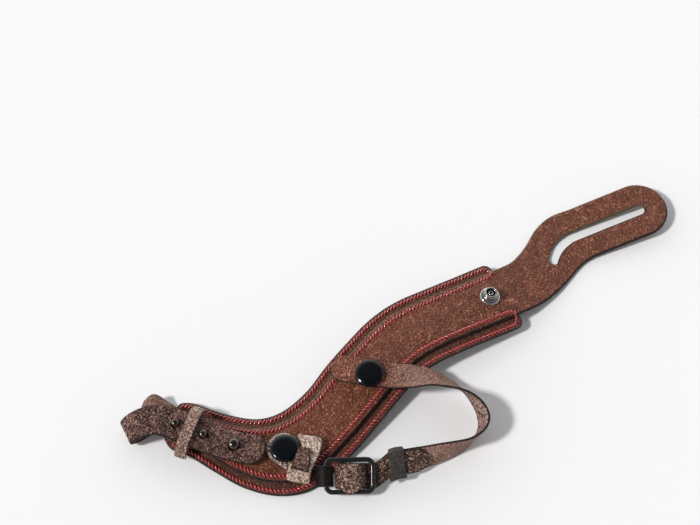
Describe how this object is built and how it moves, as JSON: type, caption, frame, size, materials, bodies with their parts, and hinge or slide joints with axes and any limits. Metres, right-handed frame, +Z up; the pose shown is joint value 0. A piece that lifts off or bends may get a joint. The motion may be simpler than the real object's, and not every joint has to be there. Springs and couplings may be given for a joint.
{
  "type": "camera hand strap",
  "caption": "Padded leather hand strap with a slotted tongue, a lug strip held on ball studs, snap tabs and a buckled wrist strap, lying on a table.",
  "frame": {"origin": "middle of the whole on the table it lies on", "axes": "+X along the tripod slot towards the tongue's round end, +Z up from the table"},
  "size_m": [0.2804, 0.0994, 0.0156],
  "materials": {
    "grain_leather": "brown pebble grain, satin",
    "pad_leather": "brown fine grain, satin, red stitching",
    "suede_leather": "grey-brown oiled nubuck, soft sheen, dark edges",
    "dark_leather": "nearly black, matte",
    "elastic": "matte charcoal",
    "plastic": "black moulded, satin",
    "enamel": "black enamel, glossy",
    "steel": "bright nickel",
    "gunmetal": "dark polished metal"
  },
  "bodies": {
    "root": {"base_pad": "pad_leather", "centre_band": "grain_leather", "lug_strip": "suede_leather", "lug_keeper": "grain_leather", "snap_tab": "grain_leather", "anchor_plate": "suede_leather", "anchor_stem": "suede_leather", "anchor_loop": "dark_leather", "wrist_strap": "suede_leather", "elastic_keeper": "elastic", "buckle": "plastic", "snap_cap_upper": "enamel", "snap_cap_lower": "enamel", "snap_socket": "steel", "stud_1": "gunmetal", "stud_2": "gunmetal", "stud_3": "gunmetal"}
  },
  "joints": []
}
